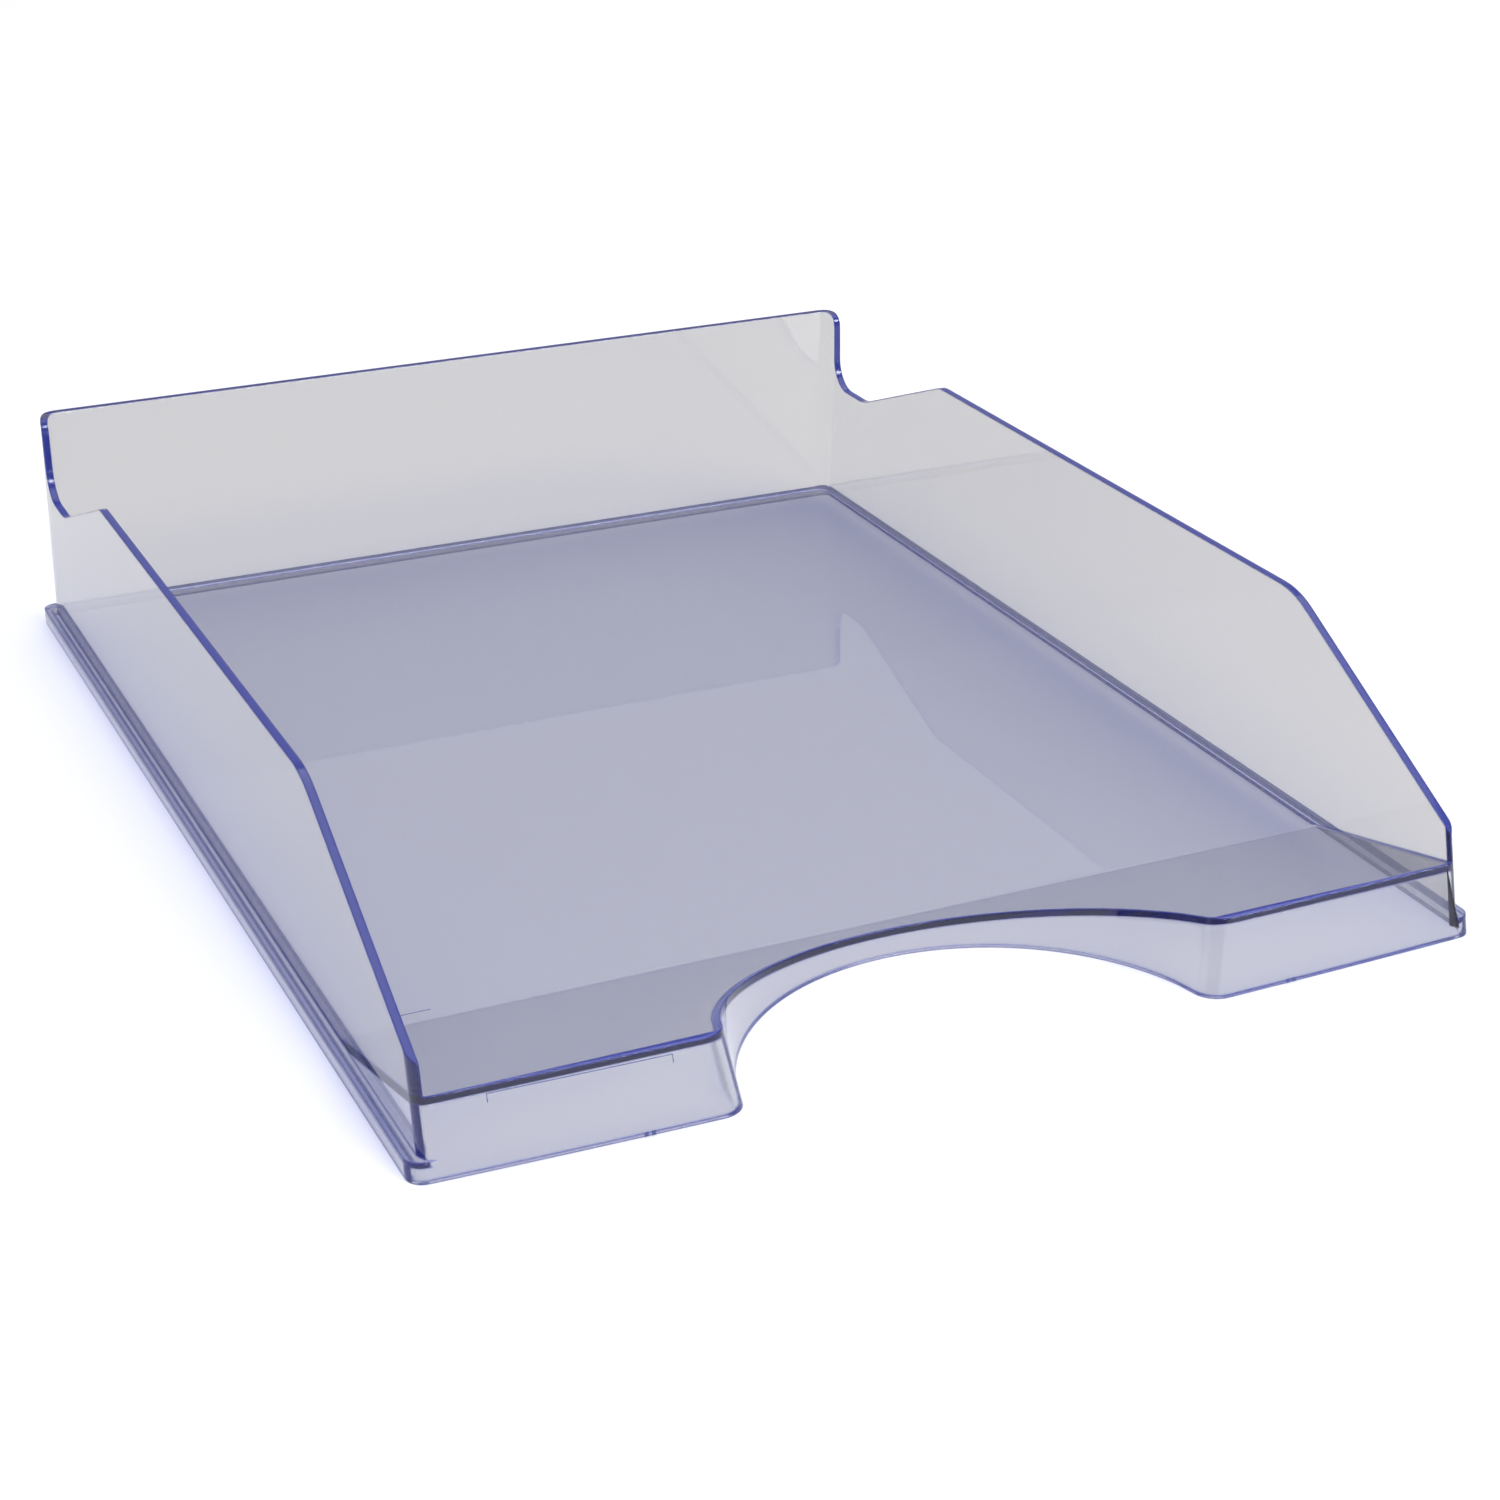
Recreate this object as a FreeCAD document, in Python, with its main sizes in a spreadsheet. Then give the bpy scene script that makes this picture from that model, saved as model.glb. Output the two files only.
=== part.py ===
"""Letter tray for A4 paper: one clear polystyrene moulding with an open, ramped front.

The moulding is drawn once, from named sizes in a sheet, and is then divided into named
regions that meet face to face: floor, walls, corners, ramps, arch, panels, ledges, lips.
Frame: +X right, +Y to the rear, +Z up, origin at the middle of the underside, in mm.
"""
import FreeCAD, Part
import Sketcher
import os

# ---------------------------------------------------------------------------
# Driving sizes, in a sheet of their own
# ---------------------------------------------------------------------------
SIZES = [
    ("overall_width", 255.0, "outside of the base ledges"),
    ("overall_depth", 346.0, "front edge beside the arch to the rear ledge"),
    ("overall_height", 65.0, "top of the rear wall"),
    ("wall_thick", 2.0, "every wall, panel and skirt"),
    ("floor_thick", 2.0, "floor plate, ramp and ledges"),
    ("floor_top", 4.5, "upper face of the floor"),
    ("ledge_width", 2.8, "how far the base stands out past the walls"),
    ("lip_thick", 2.0, "lip that hangs from the ledges down to the desk"),
    ("base_corner_radius", 4.0, "plan radius of the four base corners"),
    ("side_height", 60.2, "level top edge of the side walls"),
    ("front_height", 17.6, "top edge of the front panels"),
    ("front_lean", 3.6, "set-back of the front top edge from the bottom edge"),
    ("front_bow", 2.6, "how far the front bulges at its middle"),
    ("post_setback", 5.6, "upright front end of the side walls, from the front"),
    ("post_height", 23.2, "where the sloping rim meets that upright end"),
    ("post_radius", 5.0, "rounding of that corner"),
    ("knee_setback", 75.2, "front end of the level top edge, from the front"),
    ("knee_radius", 25.0, "rounding of the knee"),
    ("crest_setback", 84.6, "rear end of the level top edge, from the rear"),
    ("crest_radius", 12.0, "rounding of the crest"),
    ("valley_height", 41.6, "lowest stretch of the rim"),
    ("valley_setback", 33.8, "start of the valley, from the rear"),
    ("valley_radius", 20.0, "rounding where the slope runs into the valley"),
    ("ear_setback", 13.4, "upright rear end of the rim, from the rear"),
    ("ear_radius", 8.5, "rounding at the foot of that upright end"),
    ("ear_shoulder", 5.0, "rounding at the top of that upright end"),
    ("rear_lean", 5.0, "how far the rear wall leans forward over its height"),
    ("rear_corner_radius", 5.5, "outer plan radius of the rear wall's corners"),
    ("ramp_setback", 59.0, "foot of the ramp, from the front"),
    ("arch_radius", 56.0, "finger arch, at the desk"),
    ("arch_depth", 49.4, "finger arch, from the front edge to its back"),
]

doc = FreeCAD.newDocument("letter_tray")
sheet = doc.addObject("Spreadsheet::Sheet", "sheet")
for row, (alias, size, meaning) in enumerate(SIZES, start=1):
    sheet.set(f"A{row}", meaning)
    sheet.set(f"B{row}", str(size))
    sheet.setAlias(f"B{row}", alias)
doc.recompute()

# ---------------------------------------------------------------------------
# Places worked out from the sizes, as expressions on the sheet
# ---------------------------------------------------------------------------
MARGIN = "20"                      # how far the cutting shapes run past the moulding
HALF_WIDTH = "(sheet.overall_width / 2)"
FRONT = "(0 - sheet.overall_depth / 2)"
REAR = "(sheet.overall_depth / 2)"
TOP = "sheet.overall_height"
FLOOR_TOP = "sheet.floor_top"
FLOOR_LOW = "(sheet.floor_top - sheet.floor_thick)"
WALL_OUT = f"({HALF_WIDTH} - sheet.ledge_width)"
WALL_IN = f"({WALL_OUT} - sheet.wall_thick)"
LIP_IN = f"({HALF_WIDTH} - sheet.lip_thick)"

PAST_FRONT = f"({FRONT} - {MARGIN})"
PAST_REAR = f"({REAR} + {MARGIN})"
PAST_SIDE = f"({HALF_WIDTH} + {MARGIN})"
PAST_TOP = f"({TOP} + {MARGIN})"
PAST_FLOOR = f"(0 - {MARGIN})"

# rim of the side walls, from front to rear
POST = f"({FRONT} + sheet.post_setback)"
KNEE = f"({FRONT} + sheet.knee_setback)"
CREST = f"({REAR} - sheet.crest_setback)"
VALLEY = f"({REAR} - sheet.valley_setback)"
EAR = f"({REAR} - sheet.ear_setback)"

# rear wall, which leans forward above the floor
REAR_SLOPE = "(sheet.rear_lean / (sheet.overall_height - sheet.floor_top))"
REAR_FOOT = f"({REAR} - sheet.ledge_width)"
REAR_PAST = f"({REAR_FOOT} - {REAR_SLOPE} * ({PAST_TOP} - {FLOOR_TOP}))"
INNER_FOOT = f"({REAR_FOOT} - sheet.wall_thick)"
INNER_PAST = f"({REAR_PAST} - sheet.wall_thick)"
CORNER_START = f"({WALL_OUT} - sheet.rear_corner_radius)"

# The front is a wide upright cone, so that it bows in plan and leans back. The arch
# takes its middle away, and what is left is furthest forward beside the arch.
LEAN = "(sheet.front_lean / sheet.front_height)"
BOW_RADIUS = f"({HALF_WIDTH} * {HALF_WIDTH} / (2 * sheet.front_bow))"
BOW_CENTRE = f"({FRONT} + sqrt({BOW_RADIUS} ^ 2 - sheet.arch_radius ^ 2))"
TRIM = "1"                         # slab and walls are drawn this far ahead, then trimmed
UNTRIMMED = f"({BOW_CENTRE} - {BOW_RADIUS} - {TRIM})"
ARCH_CENTRE = f"({FRONT} + sheet.arch_depth - sheet.arch_radius)"

# ramp, from the floor up to the front edge
RAMP_FOOT = f"({FRONT} + sheet.ramp_setback)"
RAMP_RUN = "(sheet.ramp_setback - sheet.front_lean - sheet.wall_thick)"
RAMP_SLOPE = f"((sheet.front_height - {FLOOR_TOP}) / {RAMP_RUN})"
RAMP_DROP = f"(sheet.floor_thick * sqrt(1 + {RAMP_SLOPE} ^ 2))"
RAMP_PAST = f"({FLOOR_TOP} + {RAMP_SLOPE} * (sheet.ramp_setback + {MARGIN}))"
HOLLOW_FOOT = f"({RAMP_FOOT} - ({RAMP_DROP} - sheet.floor_thick) / {RAMP_SLOPE})"
RAMP_SPLIT = "(sheet.arch_radius + sheet.wall_thick + sheet.front_lean)"


def number(expression):
    """The value in mm of an expression on the sheet."""
    return float(sheet.evalExpression(expression.replace("sheet.", "")))


# ---------------------------------------------------------------------------
# Building blocks
# ---------------------------------------------------------------------------
def box(name, x, y, z):
    """A box between three pairs of expressions."""
    thing = doc.addObject("Part::Box", name)
    for side, axis, (low, high) in zip(("Length", "Width", "Height"), "xyz", (x, y, z)):
        thing.setExpression(side, f"{high} - {low}")
        thing.setExpression(f"Placement.Base.{axis}", low)
    return thing


def cone(name, radius, growth, centre_y):
    """An upright cone through the whole height, whose radius at the desk is given."""
    thing = doc.addObject("Part::Cone", name)
    thing.setExpression("Radius1", f"{radius} + {growth} * {PAST_FLOOR}")
    thing.setExpression("Radius2", f"{radius} + {growth} * {PAST_TOP}")
    thing.setExpression("Height", f"{PAST_TOP} - {PAST_FLOOR}")
    thing.setExpression("Placement.Base.y", centre_y)
    thing.setExpression("Placement.Base.z", PAST_FLOOR)
    return thing


def side_profile(name, corners, half_length):
    """A closed outline of (y, z) expressions, extruded both ways along X."""
    sketch = doc.addObject("Sketcher::SketchObject", name + "_sketch")
    # a third of a turn about the diagonal takes the sketch's X, Y to the part's Y, Z
    turned = FreeCAD.Rotation(FreeCAD.Vector(1, 1, 1), 120)
    sketch.Placement = FreeCAD.Placement(FreeCAD.Vector(), turned)
    points = [FreeCAD.Vector(number(y), number(z), 0) for y, z in corners]
    following = points[1:] + points[:1]
    for start, end in zip(points, following):
        sketch.addGeometry(Part.LineSegment(start, end), False)
    for index in range(len(points)):
        after = (index + 1) % len(points)
        sketch.addConstraint(Sketcher.Constraint("Coincident", index, 2, after, 1))
    for index, corner in enumerate(corners):
        for kind, expression in zip(("DistanceX", "DistanceY"), corner):
            size = Sketcher.Constraint(kind, -1, 1, index, 1, number(expression))
            place = sketch.addConstraint(size)
            sketch.setExpression(f"Constraints[{place}]", expression)
    solid = doc.addObject("Part::Extrusion", name)
    solid.Base = sketch
    solid.DirMode = "Custom"
    solid.Dir = FreeCAD.Vector(1, 0, 0)
    solid.Solid = True
    solid.setExpression("LengthFwd", half_length)
    solid.setExpression("LengthRev", half_length)
    return solid


def boolean(kind, name, base, tool):
    """A Part::Cut or a Part::Common of two objects."""
    thing = doc.addObject("Part::" + kind, name)
    thing.Base = base
    thing.Tool = tool
    return thing


def common(name, base, tool):
    return boolean("Common", name, base, tool)


def cut(name, base, tool):
    return boolean("Cut", name, base, tool)


def fuse(name, *things):
    thing = doc.addObject("Part::MultiFuse", name)
    thing.Shapes = list(things)
    return thing


def rounded(name, base, radius_of):
    """Round the edges of base for which radius_of(edge) gives a radius."""
    doc.recompute()
    edges = []
    for index, edge in enumerate(base.Shape.Edges, start=1):
        radius = radius_of(edge)
        if radius:
            edges.append((index, radius, radius))
    if not edges:
        raise RuntimeError(f"{name}: no edge to round")
    thing = doc.addObject("Part::Fillet", name)
    thing.Base = base
    thing.Edges = edges
    return thing


NEAR = 0.01                        # mm, within which two places count as the same


def is_near(value, target):
    return abs(value - target) < NEAR


def along_x(*corners):
    """Radius of an edge along X, chosen by its place: corners are (y, z, radius)."""
    places = [tuple(number(value) for value in corner) for corner in corners]

    def radius_of(edge):
        span = edge.BoundBox
        if span.YLength > NEAR or span.ZLength > NEAR:
            return None
        for y, z, radius in places:
            if is_near(span.YMin, y) and is_near(span.ZMin, z):
                return radius
        return None
    return radius_of


def standing(*corners):
    """Radius of a standing edge, chosen by its foot: corners are (|x|, y, radius)."""
    places = [tuple(number(value) for value in corner) for corner in corners]

    def radius_of(edge):
        foot = min((vertex.Point for vertex in edge.Vertexes), key=lambda point: point.z)
        span = edge.BoundBox
        if span.ZLength < NEAR:
            return None
        for x, y, radius in places:
            if is_near(abs(foot.x), x) and span.YMin - NEAR <= y <= span.YMax + NEAR:
                return radius
        return None
    return radius_of


# ---------------------------------------------------------------------------
# Outside: base slab and walled block, behind the leaning, bowed front
# ---------------------------------------------------------------------------
base_slab = rounded(
    "base_slab",
    box("base_block", (f"(0 - {HALF_WIDTH})", HALF_WIDTH), (UNTRIMMED, REAR),
        ("0", FLOOR_TOP)),
    standing((HALF_WIDTH, UNTRIMMED, "sheet.base_corner_radius"),
             (HALF_WIDTH, REAR, "sheet.base_corner_radius")))
walled_block = rounded(
    "walled_block",
    side_profile("wall_prism", [(UNTRIMMED, FLOOR_LOW), (REAR_FOOT, FLOOR_LOW),
                                (REAR_FOOT, FLOOR_TOP), (REAR_PAST, PAST_TOP),
                                (UNTRIMMED, PAST_TOP)], WALL_OUT),
    standing((WALL_OUT, REAR_FOOT, "sheet.rear_corner_radius")))
front_cone = cone("front_cone", BOW_RADIUS, f"(0 - {LEAN})", BOW_CENTRE)
outside = common("outside", fuse("block", base_slab, walled_block), front_cone)

# ---------------------------------------------------------------------------
# Space for the paper, above the floor and the ramp
# ---------------------------------------------------------------------------
paper_space = rounded(
    "paper_space",
    side_profile("paper_prism", [(RAMP_FOOT, FLOOR_TOP), (INNER_FOOT, FLOOR_TOP),
                                 (INNER_PAST, PAST_TOP), (PAST_FRONT, PAST_TOP),
                                 (PAST_FRONT, RAMP_PAST)], WALL_IN),
    standing((WALL_IN, INNER_FOOT, "sheet.rear_corner_radius - sheet.wall_thick")))

# ---------------------------------------------------------------------------
# Everything above the rim: open front, slope, knee, level, crest, valley, ear
# ---------------------------------------------------------------------------
above_rim = rounded(
    "above_rim",
    side_profile("rim_prism", [(PAST_FRONT, "sheet.front_height"),
                               (POST, "sheet.front_height"), (POST, "sheet.post_height"),
                               (KNEE, "sheet.side_height"), (CREST, "sheet.side_height"),
                               (VALLEY, "sheet.valley_height"),
                               (EAR, "sheet.valley_height"), (EAR, TOP),
                               (PAST_REAR, TOP), (PAST_REAR, PAST_TOP),
                               (PAST_FRONT, PAST_TOP)], PAST_SIDE),
    along_x((POST, "sheet.post_height", "sheet.post_radius"),
            (KNEE, "sheet.side_height", "sheet.knee_radius"),
            (CREST, "sheet.side_height", "sheet.crest_radius"),
            (VALLEY, "sheet.valley_height", "sheet.valley_radius"),
            (EAR, "sheet.valley_height", "sheet.ear_radius"),
            (EAR, TOP, "sheet.ear_shoulder")))

# ---------------------------------------------------------------------------
# Finger arch, and the hollow underside behind the front panels
# ---------------------------------------------------------------------------
arch_cut = cone("arch_cut", "sheet.arch_radius", LEAN, ARCH_CENTRE)
arch_keep = cone("arch_keep", "(sheet.arch_radius + sheet.wall_thick)", LEAN, ARCH_CENTRE)
inner_cone = cone("inner_cone", f"({BOW_RADIUS} - sheet.wall_thick)", f"(0 - {LEAN})",
                  BOW_CENTRE)
LIP_FRONT = f"({UNTRIMMED} + sheet.lip_thick)"
LIP_REAR = f"({REAR} - sheet.lip_thick)"
LIP_RADIUS = "sheet.base_corner_radius - sheet.lip_thick"
inside_lip = rounded(
    "inside_lip",
    box("inside_lip_block", (f"(0 - {LIP_IN})", LIP_IN), (LIP_FRONT, LIP_REAR),
        (PAST_FLOOR, FLOOR_LOW)),
    standing((LIP_IN, LIP_FRONT, LIP_RADIUS), (LIP_IN, LIP_REAR, LIP_RADIUS)))
under_ramp = side_profile("under_ramp", [(PAST_FRONT, PAST_FLOOR), (HOLLOW_FOOT, PAST_FLOOR),
                                         (HOLLOW_FOOT, FLOOR_LOW),
                                         (PAST_FRONT, f"{RAMP_PAST} - {RAMP_DROP}")], WALL_IN)
underside = common("underside", fuse("under_all", inside_lip, under_ramp),
                    inner_cone)
hollow = cut("hollow", underside, arch_keep)

# ---------------------------------------------------------------------------
# The moulding, whole
# ---------------------------------------------------------------------------
arched = cut("arched", outside, arch_cut)
hollowed = cut("hollowed", arched, hollow)
filled = cut("filled", hollowed, paper_space)
moulding = cut("moulding", filled, above_rim)

# ---------------------------------------------------------------------------
# Regions: where each named piece of the moulding begins and ends
# ---------------------------------------------------------------------------
ACROSS = (f"(0 - {PAST_SIDE})", PAST_SIDE)
LEFT = (f"(0 - {PAST_SIDE})", "0")
RIGHT = ("0", PAST_SIDE)
LENGTHWAYS = (PAST_FRONT, PAST_REAR)
UPWARDS = (PAST_FLOOR, PAST_TOP)


def beside(side, inner, outer):
    """The stretch of X between two distances from the middle, on one side."""
    if side == "left":
        return f"(0 - {outer})", f"(0 - {inner})"
    return inner, outer


front_shell = cut("front_shell", moulding, inner_cone)
behind_front = common("behind_front", moulding, inner_cone)
walls_and_floor = common("walls_and_floor", behind_front, walled_block)
base_edge = cut("base_edge", cut("unwalled", behind_front, walled_block), arch_keep)
skirt = common("skirt", behind_front, arch_keep)
skirtless = cut("skirtless", walls_and_floor, arch_keep)

floor_zone = box("floor_zone", (f"(0 - {WALL_IN})", WALL_IN), (PAST_FRONT, INNER_FOOT),
                 (PAST_FLOOR, FLOOR_TOP))
ramp_zone = box("ramp_zone", (f"(0 - {WALL_IN})", WALL_IN), (PAST_FRONT, RAMP_FOOT),
                UPWARDS)
plates = fuse("plates_zone", floor_zone, ramp_zone)
ramps = common("ramps", skirtless, ramp_zone)
flat_floor = cut("flat_floor", common("floor_block", skirtless, floor_zone), ramp_zone)
walls = cut("walls", skirtless, plates)

pieces = {"floor_panel": flat_floor, "arch_skirt": skirt}
pieces["middle_ramp"] = common("middle_ramp", ramps, box(
    "middle_zone", (f"(0 - {RAMP_SPLIT})", RAMP_SPLIT), LENGTHWAYS, UPWARDS))
pieces["rear_wall"] = common("rear_wall", walls, box(
    "rear_zone", (f"(0 - {CORNER_START})", CORNER_START), LENGTHWAYS, UPWARDS))
pieces["rear_ledge"] = common("rear_ledge", base_edge, box(
    "rear_ledge_zone", ACROSS, (REAR_FOOT, PAST_REAR), (FLOOR_LOW, PAST_TOP)))
pieces["rear_lip"] = common("rear_lip", base_edge, box(
    "rear_lip_zone", ACROSS, (LIP_REAR, PAST_REAR), (PAST_FLOOR, FLOOR_LOW)))

for side, half in (("left", LEFT), ("right", RIGHT)):
    outer = beside(side, CORNER_START, PAST_SIDE)
    regions = [
        ("side_wall", walls, outer, (PAST_FRONT, VALLEY), UPWARDS),
        ("rear_corner", walls, outer, (VALLEY, PAST_REAR), UPWARDS),
        ("front_panel", front_shell, half, LENGTHWAYS, UPWARDS),
        ("ramp", ramps, beside(side, RAMP_SPLIT, PAST_SIDE), LENGTHWAYS, UPWARDS),
        ("ledge", base_edge, half, (PAST_FRONT, REAR_FOOT), (FLOOR_LOW, PAST_TOP)),
        ("lip", base_edge, half, (PAST_FRONT, LIP_REAR), (PAST_FLOOR, FLOOR_LOW)),
    ]
    for kind, source, x, y, z in regions:
        name = f"{side}_{kind}"
        pieces[name] = common(name, source, box(name + "_zone", x, y, z))

# ---------------------------------------------------------------------------
# Check and write
# ---------------------------------------------------------------------------
doc.recompute()
for thing in doc.Objects:
    if "Invalid" in thing.State or "Error" in thing.State:
        raise RuntimeError(f"{thing.Name}: {thing.State}")

VOLUME_TOLERANCE = 0.002           # share of the moulding: its cones are measured roughly
total = 0.0
for name, thing in pieces.items():
    thing.Label = name
    shape = thing.Shape
    if shape.isNull() or not shape.isValid() or len(shape.Solids) != 1:
        raise RuntimeError(f"{name}: not one valid solid")
    total += shape.Volume
whole = moulding.Shape.Volume
if abs(total - whole) > VOLUME_TOLERANCE * whole:
    raise RuntimeError(f"the regions hold {total:.0f} mm3, the moulding {whole:.0f} mm3")

os.makedirs("parts", exist_ok=True)
for name, thing in pieces.items():
    thing.Shape.exportStep(f"parts/{name}.step")
    print(name, round(thing.Shape.Volume / 1000, 2), "cm3")
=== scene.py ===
# %% [markdown]
# # A clear letter tray
#
# The tray is one injection moulding of clear polystyrene, 2 mm thick. It is light grey
# where you look through a wall, bluer through the floor, and deep blue where you look
# along the plastic, at its edges. This lesson draws the moulding the way a toolmaker
# thinks of it: an outside, less the space for the paper, less the hollow underneath,
# less everything above the rim.

# %% Load the frame
import math

import bmesh
import bpy
from mathutils import Matrix, Vector


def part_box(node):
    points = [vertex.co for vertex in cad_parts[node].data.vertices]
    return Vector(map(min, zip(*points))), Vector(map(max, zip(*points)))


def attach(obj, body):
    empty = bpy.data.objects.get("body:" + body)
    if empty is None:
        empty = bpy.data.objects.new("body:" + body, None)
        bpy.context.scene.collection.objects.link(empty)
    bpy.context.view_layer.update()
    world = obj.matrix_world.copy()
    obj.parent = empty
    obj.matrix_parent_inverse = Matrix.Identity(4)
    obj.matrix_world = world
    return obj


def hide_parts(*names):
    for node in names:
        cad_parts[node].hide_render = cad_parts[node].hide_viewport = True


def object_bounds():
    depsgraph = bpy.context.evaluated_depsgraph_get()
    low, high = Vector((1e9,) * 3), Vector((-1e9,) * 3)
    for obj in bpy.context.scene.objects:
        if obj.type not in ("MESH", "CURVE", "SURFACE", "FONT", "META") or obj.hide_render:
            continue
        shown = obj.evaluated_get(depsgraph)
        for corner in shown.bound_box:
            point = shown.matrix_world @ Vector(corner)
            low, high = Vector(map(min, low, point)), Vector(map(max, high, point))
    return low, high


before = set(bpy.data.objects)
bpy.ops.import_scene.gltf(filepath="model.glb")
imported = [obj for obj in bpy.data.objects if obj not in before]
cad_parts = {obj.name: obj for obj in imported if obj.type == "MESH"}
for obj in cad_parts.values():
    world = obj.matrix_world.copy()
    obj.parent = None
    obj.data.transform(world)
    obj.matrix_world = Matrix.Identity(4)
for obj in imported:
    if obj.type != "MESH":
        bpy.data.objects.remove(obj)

scene = bpy.context.scene
cad_low, cad_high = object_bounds()
NODES = sorted(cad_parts)
print("the frame holds", len(NODES), "regions:", ", ".join(NODES))

# %% [markdown]
# ## Sizes
#
# The frame already knows the sizes that matter for fit: the overall box, the walls,
# the floor, the foot of the ramp. They are read from the regions' boxes. What a box
# can't tell, such as a rounding or a height in the middle of a slope, is named here.

# %% Sizes
MM = 0.001
CM = 10 * MM

HALF_WIDTH = cad_high.x
FRONT = cad_low.y
REAR = cad_high.y
TOP = cad_high.z

floor_low, floor_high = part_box("floor_panel")
FLOOR_LOW = floor_low.z
FLOOR_TOP = floor_high.z
RAMP_FOOT = floor_low.y
INNER_REAR = floor_high.y
WALL_IN = floor_high.x

corner_low, corner_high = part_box("right_rear_corner")
WALL_OUT = corner_high.x
WALL = WALL_OUT - WALL_IN
REAR_FOOT = corner_high.y
VALLEY = corner_low.y
SIDE_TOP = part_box("right_side_wall")[1].z

FRONT_TOP = 17.6 * MM
FRONT_LEAN = 3.6 * MM              # over the height of the front
FRONT_BOW = 2.6 * MM               # the front's middle past its ends

# The side walls' rim, from the front back: post, knee, crest, valley and ear.
POST = FRONT + 5.6 * MM
POST_TOP = 23.2 * MM
KNEE = FRONT + 75.2 * MM
CREST = REAR - 84.6 * MM
VALLEY_TOP = 41.6 * MM
EAR = REAR - 13.4 * MM
POST_ROUND = 5 * MM
KNEE_ROUND = 25 * MM
CREST_ROUND = 12 * MM
VALLEY_ROUND = 20 * MM
EAR_FOOT_ROUND = 8.5 * MM
EAR_ROUND = 5 * MM

FOOT_ROUND = 6 * MM                # where the floor turns up into the ramp
REAR_LEAN = 5.0 * MM
ARCH_RADIUS = 56.0 * MM
ARCH_DEPTH = 49.4 * MM
ARCH_CENTRE = FRONT + ARCH_DEPTH - ARCH_RADIUS
LEAN = FRONT_LEAN / FRONT_TOP
REAR_SLOPE = REAR_LEAN / (TOP - FLOOR_TOP)
RAMP_SLOPE = (FRONT_TOP - FLOOR_TOP) / (RAMP_FOOT - FRONT - FRONT_LEAN - WALL)
PAST = 20 * MM                     # how far a cutter reaches past what it cuts

for label, size in (("half width", HALF_WIDTH), ("wall outside", WALL_OUT),
                    ("wall inside", WALL_IN), ("floor top", FLOOR_TOP),
                    ("ramp foot", RAMP_FOOT), ("rear foot", REAR_FOOT)):
    print(f"{label:12} {size / MM:8.2f} mm")

# %% [markdown]
# ## Rounded outlines
#
# Every solid here starts as an outline of straight runs with rounded corners. The
# helper takes the corners and a radius for each, and puts in the arc that touches
# both runs. Writing the arcs as a rule keeps the outline to the few points that a
# drawing would show.

# %% Outline helper
ARC_STEP = math.radians(6)


def rounded_outline(corners, arc_steps=None):
    """Points of a closed outline. Corners are (u, v, radius), and 0 keeps one sharp."""
    points = []
    count = len(corners)
    for index, (u, v, radius) in enumerate(corners):
        here = Vector((u, v))
        before = Vector(corners[index - 1][:2]) - here
        after = Vector(corners[(index + 1) % count][:2]) - here
        if radius <= 0:
            points.append(here)
            continue
        before.normalize()
        after.normalize()
        half = before.angle(after) / 2
        reach = radius / math.tan(half)
        centre = here + (before + after).normalized() * (radius / math.sin(half))
        start = here + before * reach - centre
        turn = math.pi - 2 * half
        if before.cross(after) > 0:
            turn = -turn
        steps = arc_steps or max(2, math.ceil(abs(turn) / ARC_STEP))
        for step in range(steps + 1):
            swing = Matrix.Rotation(turn * step / steps, 2)
            points.append(centre + swing @ start)
    return points


def mesh_object(name, vertices, faces):
    """A closed mesh with its faces turned outwards, as an object of the scene."""
    mesh = bpy.data.meshes.new(name)
    mesh.from_pydata(vertices, [], faces)
    made = bmesh.new()
    made.from_mesh(mesh)
    bmesh.ops.recalc_face_normals(made, faces=made.faces)
    made.to_mesh(mesh)
    made.free()
    thing = bpy.data.objects.new(name, mesh)
    scene.collection.objects.link(thing)
    return thing


def loft(name, outline_at, heights):
    """A solid through the outlines that a function gives at rising heights."""
    rings = [outline_at(height) for height in heights]
    count = len(rings[0])
    vertices = []
    for ring, height in zip(rings, heights):
        vertices += [(point.x, point.y, height) for point in ring]
    faces = [tuple(range(count))[::-1]]
    for level in range(len(rings) - 1):
        low = level * count
        for index in range(count):
            after = (index + 1) % count
            faces.append((low + index, low + after, low + count + after, low + count + index))
    faces.append(tuple(range(len(vertices) - count, len(vertices))))
    return mesh_object(name, vertices, faces)


def side_prism(name, corners, half_length):
    """A solid from an outline in (y, z), drawn out both ways along X."""
    outline = rounded_outline(corners)
    count = len(outline)
    vertices = [(-half_length, point.x, point.y) for point in outline]
    vertices += [(half_length, point.x, point.y) for point in outline]
    faces = [tuple(range(count)), tuple(range(2 * count - 1, count - 1, -1))]
    for index in range(count):
        after = (index + 1) % count
        faces.append((index, count + index, count + after, after))
    return mesh_object(name, vertices, faces)


def combine(how, base, tool):
    """Unite, intersect or subtract a tool, which is then taken away."""
    modifier = base.modifiers.new(how, "BOOLEAN")
    modifier.operation = how
    modifier.solver = "EXACT"
    modifier.material_mode = "INDEX"
    modifier.object = tool
    bake(base)
    bpy.data.objects.remove(tool)
    return base


def bake(thing):
    """Turn an object's modifiers into its mesh."""
    depsgraph = bpy.context.evaluated_depsgraph_get()
    result = bpy.data.meshes.new_from_object(thing.evaluated_get(depsgraph))
    old = thing.data
    thing.modifiers.clear()
    thing.data = result
    bpy.data.meshes.remove(old)


# %% [markdown]
# ## The plan of the tray
#
# Seen from above, the base is a rounded rectangle whose front bows out, with a round
# bite for the fingers. The front leans back and the bite opens as they rise, both at
# the same rate, like a cone. One function gives that plan for the base, the walls and
# the hollow: they differ only in how far they stand in, in how their corners round and
# in their rear, which is upright or leans forward.

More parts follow.
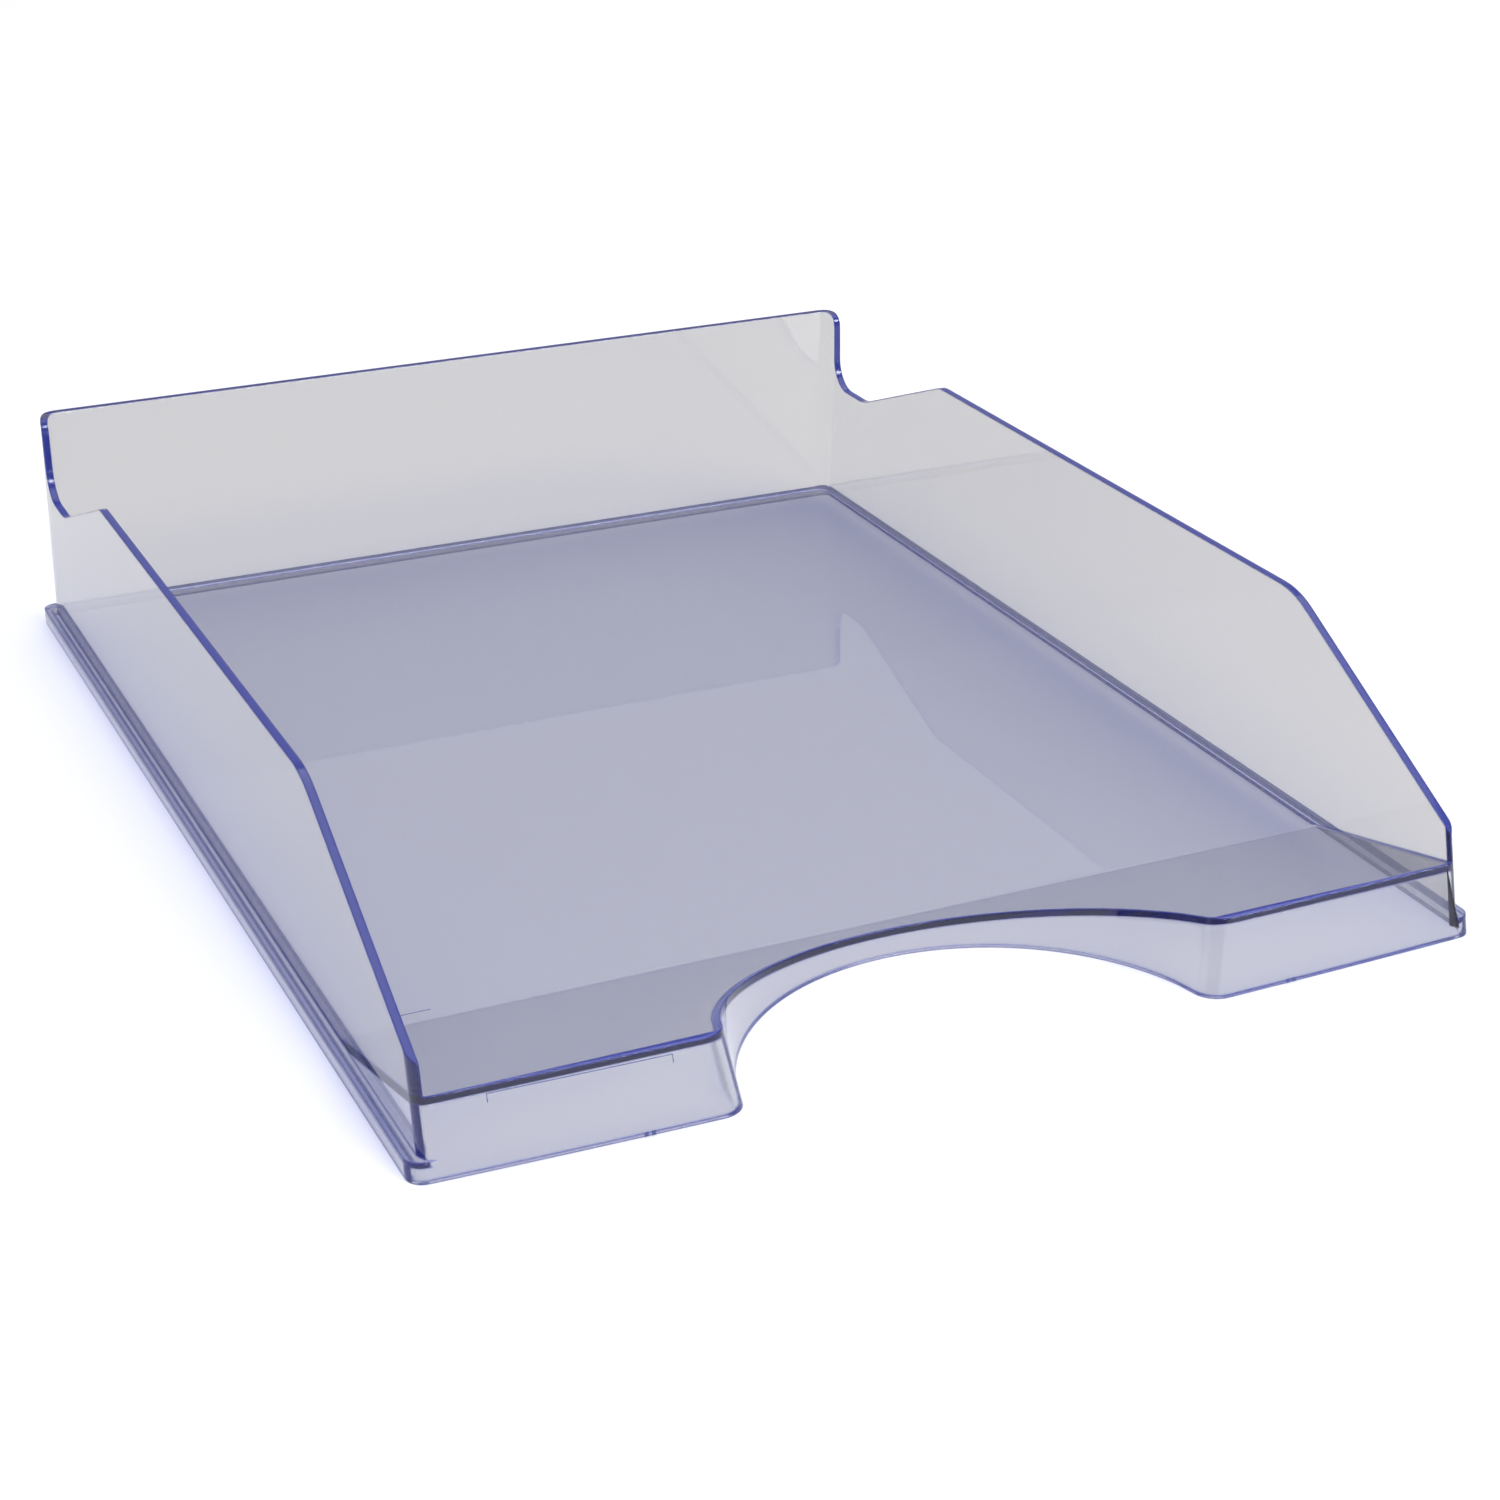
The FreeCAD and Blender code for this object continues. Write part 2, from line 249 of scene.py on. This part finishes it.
# %% Plan outline
BOW_RADIUS = HALF_WIDTH ** 2 / (2 * FRONT_BOW)
BOW_FIRST, BOW_LAST = 80 * MM, 115 * MM
BOW_STEPS = 6                      # the same places at every height, so that facets are flat
ARCH_STEPS = 48
CORNER_STEPS = 10
MOUTH_RADIUS = 6 * MM
MOUTH_CLEARANCE = 10 * MM          # the bite's arc stops this short of its mouth
MEETING_ROUNDS = 8                 # enough to settle where the bite meets the front


def levels(low, high, steps):
    """Evenly spaced values from low to high, both included."""
    return [low + (high - low) * step / steps for step in range(steps + 1)]


def bow(x):
    """How far the bowed front stands back from its foremost line, at x."""
    return (x ** 2 - ARCH_RADIUS ** 2) / (2 * BOW_RADIUS)


def plan(half_width, inset, rear, front_radius, rear_radius):
    """The plan as a function of height, standing in from the outside by an inset."""
    def outline_at(height):
        set_back = FRONT + inset + LEAN * height
        radius = ARCH_RADIUS + inset + LEAN * height
        # Each round brings the mouth closer to where the bite's circle meets the front.
        mouth = radius
        for _ in range(MEETING_ROUNDS):
            across = set_back + bow(mouth) - ARCH_CENTRE
            mouth = math.sqrt(radius ** 2 - across ** 2)
        swing = math.asin((set_back + bow(mouth) - ARCH_CENTRE) / radius)
        sweep = math.pi / 2 - swing - MOUTH_CLEARANCE / radius
        right = []
        for step in range(1, ARCH_STEPS + 1):
            angle = math.pi / 2 - sweep * step / ARCH_STEPS
            right.append((radius * math.cos(angle), ARCH_CENTRE + radius * math.sin(angle), 0))
        right.append((mouth, set_back + bow(mouth), MOUTH_RADIUS - inset))
        for x in levels(BOW_FIRST, BOW_LAST, BOW_STEPS):
            right.append((x, set_back + bow(x), 0))
        right.append((half_width, set_back + bow(half_width), front_radius))
        right.append((half_width, rear(height), rear_radius))
        left = [(-x, y, size) for x, y, size in reversed(right)]
        back_of_bite = [(0, ARCH_CENTRE + radius, 0)]
        return rounded_outline(back_of_bite + right + left, CORNER_STEPS)
    return outline_at


def straight_rear(y):
    """A rear that stands upright at y."""
    return lambda height: y


def leaning_rear(foot):
    """A rear that leans forward from its foot, above the floor."""
    return lambda height: foot - REAR_SLOPE * max(0, height - FLOOR_TOP)


# %% [markdown]
# ## The moulding
#
# The outside is the low base slab and the taller walled block on it. The paper space
# has a flat bottom that turns up into the ramp. The hollow underneath follows the
# same plan one wall further in, and stops below the floor and the ramp. Booleans do
# the cutting, because the toolmaker cut the steel in the same way, and because the
# result is one closed skin, which clear plastic needs: an inner face between two
# touching solids would show as a crack.

# %% Cut the moulding
BASE_CORNER = 4 * MM
WALL_CORNER = 5.5 * MM
POST_CORNER = 4 * MM
BLOCK_START = 1 * MM               # the block starts this far above the floor's underside
RAMP_CORNER = 1 * MM               # of the hollow under the ramp
LIP = 2 * MM

base = loft("base_slab", plan(HALF_WIDTH, 0, straight_rear(REAR), BASE_CORNER, BASE_CORNER),
            levels(0, FLOOR_TOP, 2))
block = loft("walled_block",
             plan(WALL_OUT, 0, leaning_rear(REAR_FOOT), POST_CORNER, WALL_CORNER),
             [FLOOR_LOW + BLOCK_START, FLOOR_TOP, PAST, TOP + PAST])
tray = combine("UNION", base, block)
print("outside", len(tray.data.vertices), "points")


def paper_plan(height):
    """The paper's space seen from above: open at the front, rounded at the rear."""
    back = leaning_rear(INNER_REAR)(height)
    round_in = WALL_CORNER - WALL
    return rounded_outline([(-WALL_IN, FRONT - PAST, 0), (WALL_IN, FRONT - PAST, 0),
                            (WALL_IN, back, round_in), (-WALL_IN, back, round_in)],
                           CORNER_STEPS)


paper_space = loft("paper_space", paper_plan, [FLOOR_LOW - PAST, FLOOR_TOP, TOP + 2 * PAST])
above_floor = side_prism("above_floor", [
    (FRONT - 2 * PAST, FLOOR_TOP + RAMP_SLOPE * (RAMP_FOOT - FRONT + 2 * PAST), 0),
    (RAMP_FOOT, FLOOR_TOP, FOOT_ROUND), (REAR + PAST, FLOOR_TOP, 0),
    (REAR + PAST, TOP + 3 * PAST, 0), (FRONT - 2 * PAST, TOP + 3 * PAST, 0)],
    HALF_WIDTH + PAST)
combine("INTERSECT", paper_space, above_floor)

hollow = loft("hollow", plan(HALF_WIDTH - LIP, WALL, straight_rear(REAR - LIP),
                             BASE_CORNER - LIP, BASE_CORNER - LIP), [-PAST, FLOOR_LOW])
under_ramp = loft("under_ramp", plan(WALL_IN, WALL, straight_rear(REAR - LIP),
                                     RAMP_CORNER, RAMP_CORNER),
                  [-PAST / 2, 0, PAST])
RAMP_DROP = (FLOOR_TOP - FLOOR_LOW) * math.sqrt(1 + RAMP_SLOPE ** 2)
UNDER_FOOT = RAMP_FOOT - (RAMP_DROP - FLOOR_TOP + FLOOR_LOW) / RAMP_SLOPE
below_ramp = side_prism("below_ramp", [
    (FRONT - PAST, -2 * PAST, 0), (UNDER_FOOT, -2 * PAST, 0), (UNDER_FOOT, FLOOR_LOW, 0),
    (FRONT - PAST, FLOOR_LOW + RAMP_SLOPE * (UNDER_FOOT - FRONT + PAST), 0)],
    HALF_WIDTH + PAST)
combine("INTERSECT", under_ramp, below_ramp)

above_rim = side_prism("above_rim", [
    (FRONT - PAST, FRONT_TOP, 0), (POST, FRONT_TOP, 0), (POST, POST_TOP, POST_ROUND),
    (KNEE, SIDE_TOP, KNEE_ROUND), (CREST, SIDE_TOP, CREST_ROUND),
    (VALLEY, VALLEY_TOP, VALLEY_ROUND), (EAR, VALLEY_TOP, EAR_FOOT_ROUND),
    (EAR, TOP, EAR_ROUND), (REAR + PAST, TOP, 0),
    (REAR + PAST, TOP + 3 * PAST, 0), (FRONT - PAST, TOP + 3 * PAST, 0)],
    HALF_WIDTH + PAST)

# Faces that the rim's cutter leaves are told apart later by their material index.
BROAD, RIM = 0, 1
for thing in (tray, above_rim):
    for _ in (BROAD, RIM):
        thing.data.materials.append(None)
for polygon in above_rim.data.polygons:
    polygon.material_index = RIM

for cutter in (hollow, under_ramp, paper_space, above_rim):
    label = cutter.name
    combine("DIFFERENCE", tray, cutter)
    print("less", label, len(tray.data.vertices), "points,", len(tray.data.polygons), "faces")

# %% [markdown]
# ## One clean skin
#
# The booleans leave stray points on flat faces. They are merged and dissolved, which
# keeps the material's index of each face. Then the faces beside a small step of an arc
# are shaded smooth and all others flat, and the normals lean towards the large faces,
# so that a flat wall stays flat right up to its edges.

# %% Clean and smooth
MERGE = 0.005 * MM                 # points closer than this become one
NEAR_FLAT = math.radians(0.02)     # an edge that turns less than this is dissolved
FLAT = math.radians(1.5)           # a larger turn than this is a step of an arc
SHARP = math.radians(24)           # a turn of this or more is an edge
MOST_LEAN = math.radians(10)       # as far as a corner's normal may lean off its face's

shape = bmesh.new()
shape.from_mesh(tray.data)
bmesh.ops.remove_doubles(shape, verts=shape.verts, dist=MERGE)
bmesh.ops.dissolve_limit(shape, angle_limit=NEAR_FLAT, verts=shape.verts,
                         edges=shape.edges, delimit={"MATERIAL"})
for face in shape.faces:
    turns = [edge.calc_face_angle(0) for edge in face.edges]
    face.smooth = any(FLAT < turn < SHARP for turn in turns)
open_edges = [edge for edge in shape.edges if not edge.is_manifold]
print("skin:", len(shape.verts), "points,", len(shape.faces), "faces,", len(open_edges),
      "open edges,", f"{shape.calc_volume() / CM ** 3:.1f} cm3")
shape.to_mesh(tray.data)
shape.free()
tray.data.set_sharp_from_angle(angle=SHARP)
flatness = tray.modifiers.new("flat_stays_flat", "WEIGHTED_NORMAL")
flatness.mode = "FACE_AREA"
flatness.weight = 100
flatness.thresh = 0.001
flatness.keep_sharp = True
bake(tray)
tray.name = "tray_moulding"
tray.data.name = "tray_moulding"

# A corner whose normal leans further than an arc's step can ask for takes its face's.
normals = []
put_right = 0
for polygon in tray.data.polygons:
    for corner in polygon.loop_indices:
        normal = tray.data.corner_normals[corner].vector.copy()
        if normal.angle(polygon.normal, math.pi) > MOST_LEAN:
            normal = polygon.normal.copy()
            put_right += 1
        normals.append(normal)
tray.data.normals_split_custom_set(normals)
print("corner normals put right:", put_right, "of", len(normals))

# %% [markdown]
# ## Which faces are the rim
#
# Light that enters a clear sheet is trapped in it and leaves by its edges, after a long way
# through the tinted plastic, so the rim looks deep blue. That blue is painted light, put on
# as a shader: each face carries a number for its share, one on the flat of the rim, less
# along the rear wall, whose rim catches the front lamp's highlight and looks paler, and
# none on the walls.

# %% Rim share
# The rear wall's top gets little of the painted blue, because the front lamp's highlight lies
# along its rim and makes it look paler.
REAR_RIM = 0.15
REAR_TOP_BAND = 1 * MM             # rim faces this close below the top are the rear wall's

rim_share = tray.data.attributes.new("rim_share", "FLOAT", "FACE")
on_rim = 0
for polygon in tray.data.polygons:
    if polygon.material_index != RIM:
        continue
    at_rear_top = polygon.center.z > TOP - REAR_TOP_BAND
    rim_share.data[polygon.index].value = REAR_RIM if at_rear_top else 1.0
    on_rim += 1
    polygon.material_index = BROAD
print("faces of the rim:", on_rim, "of", len(tray.data.polygons))

# %% [markdown]
# ## Clear polystyrene
#
# A principled shader with full transmission bends light as polystyrene does. Its
# surface is a grey with a little yellow in it, and the volume inside takes out more red
# and green than blue. Through a wall of 2 mm the two come out as a light grey, and along
# the long way through an edge the blue wins.
#
# A second shader, bluer, rougher and mostly opaque, is mixed in at the edges and on the
# rim. It is painted light: it paints on the deep blue that light trapped in the sheet gives
# its edges. A bevel node gives the normal that a rounded edge would have. The mesh stays
# sharp, but its edges catch the light as rounded ones, and how far that normal tilts off
# the face's own tells how near an edge is. A trace of the painted blue is on every face.
#
# Shadow rays pass straight through as through a thin tinted sheet, so that light
# reaches the desk. Rays that leave the desk do the same, or the lamps would light it
# twice, once straight and once bent.

# %% Material


class Socket:
    """A node's output with Python's arithmetic on it."""

    def __init__(self, tree, socket):
        self.tree = tree
        self.socket = socket

    def maths(self, operation, *values):
        return node(self.tree, "ShaderNodeMath", {"operation": operation}, dict(enumerate(values)))

    def __add__(self, other):
        return self.maths("ADD", self, other)

    def __sub__(self, other):
        return self.maths("SUBTRACT", self, other)

    def __rsub__(self, other):
        return self.maths("SUBTRACT", other, self)

    def __mul__(self, other):
        return self.maths("MULTIPLY", self, other)

    __radd__ = __add__
    __rmul__ = __mul__


def node(tree, kind, settings, inputs, output=0):
    """A new node: its settings first, then values or links for its sockets."""
    made = tree.nodes.new(kind)
    for name, value in settings.items():
        setattr(made, name, value)
    for name, value in inputs.items():
        if isinstance(value, Socket):
            tree.links.new(value.socket, made.inputs[name])
        else:
            made.inputs[name].default_value = value
    return made if output is None else Socket(tree, made.outputs[output])


REFRACTION = 1.59                  # of polystyrene
SURFACE_GREY = (0.76, 0.735, 0.64, 1)
SURFACE_ROUGHNESS = 0.02
RIPPLE_SCALE, RIPPLE_DETAIL = 30.0, 2.0
RIPPLE_STRENGTH, RIPPLE_DEPTH = 0.02, 1 * MM

# The edges' blue is painted light: the deep blue of light trapped in the sheet, painted onto its
# edges and rim in the shares below.
TRAPPED_LIGHT_BLUE = (0.030, 0.055, 0.48, 1)
EDGE_ROUGHNESS = 0.12
EDGE_CLEARNESS = 0.25
EDGE_RADIUS = 0.8 * MM
BEVEL_SAMPLES = 4
EDGE_GAIN = 3.2                    # turns the normal's tilt into a share of blue
RIM_BLUE = 0.55                    # the share of blue on the flat of the rim
# Near the rear wall's top the edges also get less painted blue, where the front lamp's highlight
# lies.
PALE_RIM = 0.8                     # how much of the edge blue the rear wall's top lacks
PALE_BAND = 2.5 * MM               # as far below the top as that goes
BLUE_EVERYWHERE = 0.05
BLUE_RANGE = 0.80                  # what a full share adds to that

DEPTH_BLUE = (0.06, 0.19, 0.78, 1)
DEPTH_DENSITY = 80.0
THIN_TINT = (0.92, 0.92, 0.94, 1)


def clear_plastic():
    """The moulding's plastic: clear skin, blue edges and a blue depth."""
    material = bpy.data.materials.new("clear_polystyrene")
    material.use_nodes = True
    tree = material.node_tree
    tree.nodes.clear()
    place = node(tree, "ShaderNodeTexCoord", {}, {}, "Object")
    ripple = node(tree, "ShaderNodeTexNoise", {}, {
        "Vector": place, "Scale": RIPPLE_SCALE, "Detail": RIPPLE_DETAIL})
    rounded = node(tree, "ShaderNodeBevel", {"samples": BEVEL_SAMPLES}, {"Radius": EDGE_RADIUS})
    skin = node(tree, "ShaderNodeNewGeometry", {}, {}, "Normal")
    tilt = node(tree, "ShaderNodeVectorMath", {"operation": "DOT_PRODUCT"},
                {0: rounded, 1: skin}, "Value")
    height = node(tree, "ShaderNodeSeparateXYZ", {}, {"Vector": place}, "Z")
    # Less painted blue near the rear wall's top, where the lamp's highlight lies along the rim.
    rear_top = height.maths("GREATER_THAN", height, TOP - PALE_BAND)
    blue_there = 1 - rear_top * PALE_RIM
    tilted = (1 - tilt.maths("ABSOLUTE", tilt)) * EDGE_GAIN * blue_there
    near_edge = tilt.maths("MINIMUM", tilted, 1.0)
    bump = node(tree, "ShaderNodeBump", {}, {
        "Height": ripple, "Strength": RIPPLE_STRENGTH, "Distance": RIPPLE_DEPTH,
        "Normal": rounded})
    surface = node(tree, "ShaderNodeBsdfPrincipled", {}, {
        "Base Color": SURFACE_GREY, "Roughness": SURFACE_ROUGHNESS, "IOR": REFRACTION,
        "Transmission Weight": 1.0, "Normal": bump})
    edge = node(tree, "ShaderNodeBsdfPrincipled", {}, {
        "Base Color": TRAPPED_LIGHT_BLUE, "Roughness": EDGE_ROUGHNESS, "IOR": REFRACTION,
        "Transmission Weight": EDGE_CLEARNESS, "Normal": rounded})
    # The share of painted blue: the rim's number or the nearness of an edge, whichever is more.
    rim = node(tree, "ShaderNodeAttribute", {"attribute_name": "rim_share"}, {}, "Fac")
    share = rim.maths("MAXIMUM", rim * RIM_BLUE, near_edge)
    moulded = node(tree, "ShaderNodeMixShader", {}, {
        0: share * BLUE_RANGE + BLUE_EVERYWHERE, 1: surface, 2: edge})
    path = node(tree, "ShaderNodeLightPath", {}, {}, None)
    shadow_ray = Socket(tree, path.outputs["Is Shadow Ray"])
    desk_ray = Socket(tree, path.outputs["Is Diffuse Ray"])
    thin = node(tree, "ShaderNodeBsdfTransparent", {}, {"Color": THIN_TINT})
    whole = node(tree, "ShaderNodeMixShader", {}, {
        0: shadow_ray.maths("MAXIMUM", shadow_ray, desk_ray), 1: moulded, 2: thin})
    depth = node(tree, "ShaderNodeVolumeAbsorption", {}, {
        "Color": DEPTH_BLUE, "Density": DEPTH_DENSITY})
    node(tree, "ShaderNodeOutputMaterial", {}, {"Surface": whole, "Volume": depth}, None)
    return material


tray.data.materials.clear()
tray.data.materials.append(clear_plastic())
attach(tray, "root")
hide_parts(*NODES)

# %% [markdown]
# ## Marks on the moulding
#
# The tool leaves three small marks. A fine raised line on the left front panel frames
# the place for a label, with a short tick down at each end. A small corner mark stands
# on the floor. Two pairs of nibs sit on the bottom edge of the front panels. A line
# that follows a path is a curve given a round section, and what repeats is one block
# placed on points, so both are made with Geometry Nodes and then baked.

# %% Marks
LINE_SIDES = 8
LINE_RADIUS = 0.1 * MM
# The marks' blues are painted light: the dark blue that a clear rib or nib shows from light
# trapped in it, painted on as an opaque colour.
MARK_BLUES = (0.03, 0.04, 0.20, 1), (0.07, 0.09, 0.28, 1)
MARK_CLOUD = 400.0                 # scale of the slight unevenness of the marks' blue
MARK_ROUGHNESS, MARK_UNEVENNESS = 0.1, 0.2
MIX_FACTOR, MIX_FIRST, MIX_SECOND, MIXED = 0, 6, 7, 2      # a colour mix's sockets


def on_front(x, height):
    """A place on the outside of a front panel."""
    return (x, FRONT + LEAN * height + bow(x), height)


def marks_tree(name, settings_of, build):
    """A node group from a mesh to a finished mesh, with named inputs."""
    tree = bpy.data.node_groups.new(name, "GeometryNodeTree")
    face = tree.interface
    face.new_socket("Geometry", in_out="INPUT", socket_type="NodeSocketGeometry")
    for label, kind in settings_of:
        face.new_socket(label, in_out="INPUT", socket_type=kind)
    face.new_socket("Geometry", in_out="OUTPUT", socket_type="NodeSocketGeometry")
    given = tree.nodes.new("NodeGroupInput")
    drawn = build(tree, {socket.name: Socket(tree, socket) for socket in given.outputs
                         if socket.name})
    real = node(tree, "GeometryNodeRealizeInstances", {}, {"Geometry": drawn})
    finished = node(tree, "GeometryNodeSetMaterial", {}, {
        "Geometry": real, "Material": Socket(tree, given.outputs["Material"])})
    result = tree.nodes.new("NodeGroupOutput")
    tree.links.new(finished.socket, result.inputs["Geometry"])
    return tree


def raised_line(tree, given):
    """A round section drawn along the mesh's edges."""
    path = node(tree, "GeometryNodeMeshToCurve", {}, {"Mesh": given["Geometry"]})
    section = node(tree, "GeometryNodeCurvePrimitiveCircle", {}, {
        "Resolution": LINE_SIDES, "Radius": given["Radius"]})
    return node(tree, "GeometryNodeCurveToMesh", {}, {
        "Curve": path, "Profile Curve": section, "Fill Caps": True})


def blocks(tree, given):
    """One block, placed on each of the mesh's points."""
    block = node(tree, "GeometryNodeMeshCube", {}, {"Size": given["Size"]})
    return node(tree, "GeometryNodeInstanceOnPoints", {}, {
        "Points": given["Geometry"], "Instance": block})


def marked(name, points, edges, tree, values):
    """Points and edges, run through a node group and baked to a plain mesh."""
    mesh = bpy.data.meshes.new(name)
    mesh.from_pydata(points, edges, [])
    thing = bpy.data.objects.new(name, mesh)
    scene.collection.objects.link(thing)
    modifier = thing.modifiers.new(name, "NODES")
    modifier.node_group = tree
    for item in tree.interface.items_tree:
        if item.in_out == "INPUT" and item.name in values:
            modifier[item.identifier] = values[item.name]
    bake(thing)
    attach(thing, "root")
    print(name, len(thing.data.vertices), "points,", len(thing.data.polygons), "faces")


def edge_blue():
    """The marks' dark blue, opaque and slightly uneven: painted light, the dark blue that light
    trapped in the clear plastic gives each mark.
    """
    material = bpy.data.materials.new("edge_blue")
    material.use_nodes = True
    tree = material.node_tree
    tree.nodes.clear()
    place = node(tree, "ShaderNodeTexCoord", {}, {}, "Object")
    cloud = node(tree, "ShaderNodeTexNoise", {}, {"Vector": place, "Scale": MARK_CLOUD})
    colour = node(tree, "ShaderNodeMix", {"data_type": "RGBA"}, {
        MIX_FACTOR: cloud, MIX_FIRST: MARK_BLUES[0], MIX_SECOND: MARK_BLUES[1]}, MIXED)
    skin = node(tree, "ShaderNodeBsdfPrincipled", {}, {
        "Base Color": colour, "Roughness": cloud * MARK_UNEVENNESS + MARK_ROUGHNESS,
        "IOR": REFRACTION})
    node(tree, "ShaderNodeOutputMaterial", {}, {"Surface": skin}, None)
    return material


blue = edge_blue()
LABEL_LEFT, LABEL_RIGHT = -110 * MM, -70.5 * MM
LABEL_TOP, LABEL_TICK = 15.8 * MM, 14 * MM
LABEL_STEPS = 8
label_points = [on_front(LABEL_LEFT, LABEL_TICK)]
for x in levels(LABEL_LEFT, LABEL_RIGHT, LABEL_STEPS):
    label_points.append(on_front(x, LABEL_TOP))
label_points.append(on_front(LABEL_RIGHT, LABEL_TICK))
CORNER_X, CORNER_Y, CORNER_ARM = -110 * MM, -110.3 * MM, 7 * MM
corner_mark = [(CORNER_X, CORNER_Y + CORNER_ARM, FLOOR_TOP), (CORNER_X, CORNER_Y, FLOOR_TOP),
               (CORNER_X + CORNER_ARM, CORNER_Y, FLOOR_TOP)]
first = len(label_points)
line_edges = [(index, index + 1) for index in range(first - 1)]
line_edges += [(first, first + 1), (first + 1, first + 2)]
marked("raised_lines", label_points + corner_mark, line_edges,
       marks_tree("raised_line", [("Radius", "NodeSocketFloat"),
                                  ("Material", "NodeSocketMaterial")], raised_line),
       {"Radius": LINE_RADIUS, "Material": blue})

NIB_PLACE = 77 * MM
NIB_SHIFT = 0.8 * MM               # from the middle of a pair to each of its nibs
NIB_HEIGHT = 0.5 * MM
NIB_SIZE = (0.8 * MM, 0.4 * MM, 0.8 * MM)
nibs = [on_front(side * NIB_PLACE + shift * NIB_SHIFT, NIB_HEIGHT)
        for side in (-1, 1) for shift in (-1, 1)]
marked("edge_nibs", nibs, [],
       marks_tree("nib_blocks", [("Size", "NodeSocketVector"),
                                 ("Material", "NodeSocketMaterial")], blocks),
       {"Size": NIB_SIZE, "Material": blue})

# %% [markdown]
# ## Floor, light and camera
#
# The tray stands on a pale desk in a white surround, with a large lamp overhead and a
# long, narrow one in front. Light that is trapped in the plastic bounces many times,
# and would go black if it were cut off after a few.

# %% Stage
DESK_SIZE = 12.0
DESK_GREY = (0.86, 0.86, 0.86, 1)
DESK_ROUGHNESS = 0.9
DESK_DROP = 0.2 * MM               # keeps the desk clear of the tray's underside
SURROUND_STRENGTH = 0.50
MOST_BOUNCES = 64
AIM = Vector((0, 0, 0))            # where both lamps point

floor_mesh = bpy.data.meshes.new("desk")
half = DESK_SIZE / 2
floor_mesh.from_pydata([(-half, -half, 0), (half, -half, 0), (half, half, 0), (-half, half, 0)],
                       [], [(0, 1, 2, 3)])
desk = bpy.data.objects.new("desk", floor_mesh)
scene.collection.objects.link(desk)
pale = bpy.data.materials.new("pale_desk")
pale.use_nodes = True
desk_skin = pale.node_tree.nodes["Principled BSDF"].inputs
desk_skin["Base Color"].default_value = DESK_GREY
desk_skin["Roughness"].default_value = DESK_ROUGHNESS
floor_mesh.materials.append(pale)
desk.location.z = -DESK_DROP

world = bpy.data.worlds.new("studio")
scene.world = world
world.use_nodes = True
surround = world.node_tree.nodes["Background"].inputs
surround["Color"].default_value = (1, 1, 1, 1)
surround["Strength"].default_value = SURROUND_STRENGTH
scene.view_settings.view_transform = "Standard"
scene.cycles.blur_glossy = 0.0
scene.cycles.max_bounces = MOST_BOUNCES
scene.cycles.transmission_bounces = MOST_BOUNCES
scene.cycles.glossy_bounces = MOST_BOUNCES


def softbox(name, place, size, power):
    """A rectangular lamp that is aimed at the tray."""
    light = bpy.data.lights.new(name, "AREA")
    light.shape = "RECTANGLE"
    light.size, light.size_y = size
    light.energy = power
    lamp = bpy.data.objects.new(name, light)
    lamp.location = place
    lamp.rotation_euler = (AIM - Vector(place)).to_track_quat("-Z", "Y").to_euler()
    scene.collection.objects.link(lamp)


softbox("softbox_over", place=(0, 0.5, 3.5), size=(5, 5), power=105)
softbox("softbox_front", place=(0.9, -1.9, 1.6), size=(2.4, 0.45), power=52)

# %% Camera
AZIMUTH = math.radians(-24.297)
ELEVATION = math.radians(22.743)
ROLL = math.radians(-0.521)
DISTANCE = 775.742 * MM
TARGET = Vector((22.261, -17.977, 20.0)) * MM
SENSOR = 36.0
LENS = 72.693
SHIFT = (-0.01916, -0.03453)

back = Vector((math.sin(AZIMUTH) * math.cos(ELEVATION),
               -math.cos(AZIMUTH) * math.cos(ELEVATION), math.sin(ELEVATION)))
camera_data = bpy.data.cameras.new("camera")
camera_data.sensor_width = SENSOR
camera_data.lens = LENS
camera_data.shift_x, camera_data.shift_y = SHIFT
camera_data.clip_start = 10 * MM
camera = bpy.data.objects.new("camera", camera_data)
turn = (-back).to_track_quat("-Z", "Y").to_matrix().to_4x4()
camera.matrix_world = (Matrix.Translation(TARGET + back * DISTANCE) @ turn
                       @ Matrix.Rotation(ROLL, 4, "Z"))
scene.collection.objects.link(camera)
scene.camera = camera
